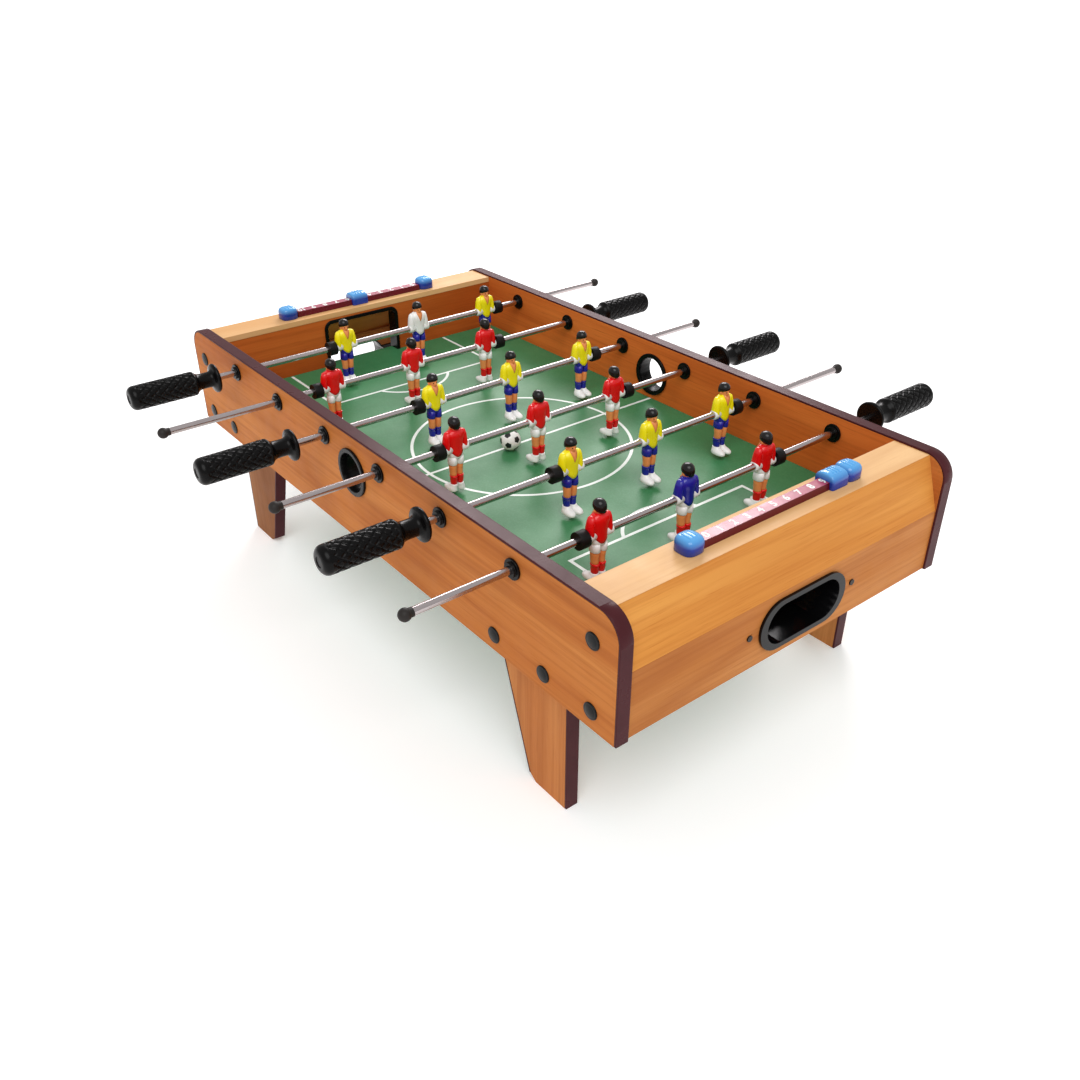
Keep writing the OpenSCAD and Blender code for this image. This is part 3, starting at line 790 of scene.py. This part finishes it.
def rail_print(side, sign):
    """A pink strip on top of a rail, with rounded corners: painted sheen, the light that the
    rail's glossy red top reflects.
    """
    bm = bmesh.new()
    outline = []
    for cx, cy, a in ((4.2, 77.0, 0), (-4.2, 77.0, 90), (-4.2, -77.0, 180), (4.2, -77.0, 270)):
        outline += arc(cx, cy, 0.7, a, a + 90, 4)
    rows = [[(sign * SCORER_X + x, y, z) for x, y in outline]
            for z in (RAIL_TOP - 0.05, RAIL_TOP + 0.06)]
    skin_rings(bm, rows)
    o = add_piece(bm, f"{side}_rail_print", ["rail_print"], "box")
    crease(o, 30)


def numerals(side, sign):
    """0 to 10 along the rail, to be read from that end of the table."""
    made = bmesh.new()
    step = RAIL_L / FIGURES
    for n in range(FIGURES):
        curve = bpy.data.curves.new("figure", "FONT")
        curve.body = str(n)
        curve.size = NUMERAL
        curve.align_x = "CENTER"
        curve.align_y = "CENTER"
        curve.extrude = 0.07
        curve.offset = 0.3
        curve.resolution_u = 4
        o = bpy.data.objects.new("figure", curve)
        bpy.context.collection.objects.link(o)
        bpy.context.view_layer.update()
        mesh = bpy.data.meshes.new_from_object(o)
        bpy.data.objects.remove(o)
        bpy.data.curves.remove(curve)
        turned = Matrix.Rotation(sign * math.pi / 2, 4, "Z")
        y = (n + 0.5) * step - RAIL_L / 2
        mesh.transform(Matrix.Translation((sign * SCORER_X, sign * y, RAIL_TOP + 0.05)) @ turned)
        made.from_mesh(mesh)
        bpy.data.meshes.remove(mesh)
    bmesh.ops.remove_doubles(made, verts=made.verts, dist=0.001)
    flat(add_piece(made, f"{side}_rail_figures", ["white_print"], "box"))


scorer_beads()
for side, sign in (("left", -1), ("right", 1)):
    rail_print(side, sign)
    numerals(side, sign)
    slider(side, sign)

# ---------------------------------------------------------------- studio
def add_light(name, place, aim, size, power, colour=(1, 1, 1)):
    data = bpy.data.lights.new(name, "AREA")
    data.shape = "RECTANGLE"
    data.size, data.size_y = size
    data.energy = power
    data.color = colour
    o = bpy.data.objects.new(name, data)
    o.location = place
    o.rotation_euler = (Vector(aim) - Vector(place)).to_track_quat("-Z", "Y").to_euler()
    bpy.context.collection.objects.link(o)


def add_floor():
    """A plain pale floor, much wider than any view."""
    mesh = bpy.data.meshes.new("floor")
    half = 30.0
    mesh.from_pydata(
        [(-half, -half, 0), (half, -half, 0), (half, half, 0), (-half, half, 0)], [],
        [(0, 1, 2, 3)])
    o = bpy.data.objects.new("floor", mesh)
    bpy.context.collection.objects.link(o)
    p = Paint("floor_paint", Specular_IOR_Level=0.2)
    cloud = p.noise(p.scaled(3, 3, 3))
    o.data.materials.append(p.set(
        Base_Color=p.mix(cloud, (0.90, 0.90, 0.90, 1), (0.94, 0.94, 0.94, 1)),
        Roughness=p.spread(cloud, 0.3, 0.7, 0.75, 0.85),
        Emission_Color=(1, 1, 1, 1), Emission_Strength=0.2))


add_floor()

world = bpy.data.worlds.new("studio")
world.use_nodes = True
world.node_tree.nodes["Background"].inputs["Color"].default_value = (1, 1, 1, 1)
world.node_tree.nodes["Background"].inputs["Strength"].default_value = 0.63
bpy.context.scene.world = world

sun_data = bpy.data.lights.new("sun", "SUN")
sun_data.energy = 1.6
sun_data.angle = math.radians(45)
sun = bpy.data.objects.new("sun", sun_data)
sun.rotation_euler = Vector((-0.75, 0.55, -1.25)).to_track_quat("-Z", "Y").to_euler()
bpy.context.collection.objects.link(sun)

add_light("far_sheen", (-1.5, 1.4, 1.45), (0, 0, 0.2), (1.3, 0.9), 34, (1.0, 0.96, 0.97))
bpy.context.scene.view_settings.view_transform = "Standard"

camera_data = bpy.data.cameras.new("camera")
camera_data.lens = 33.88
camera_data.sensor_width = 36.0
camera_data.clip_end = 60.0
camera = bpy.data.objects.new("camera", camera_data)
camera.location = (0.71657, -0.54367, 0.60065)
camera.rotation_euler = [math.radians(v) for v in (58.492, 0.035, 51.682)]
bpy.context.collection.objects.link(camera)
bpy.context.scene.camera = camera
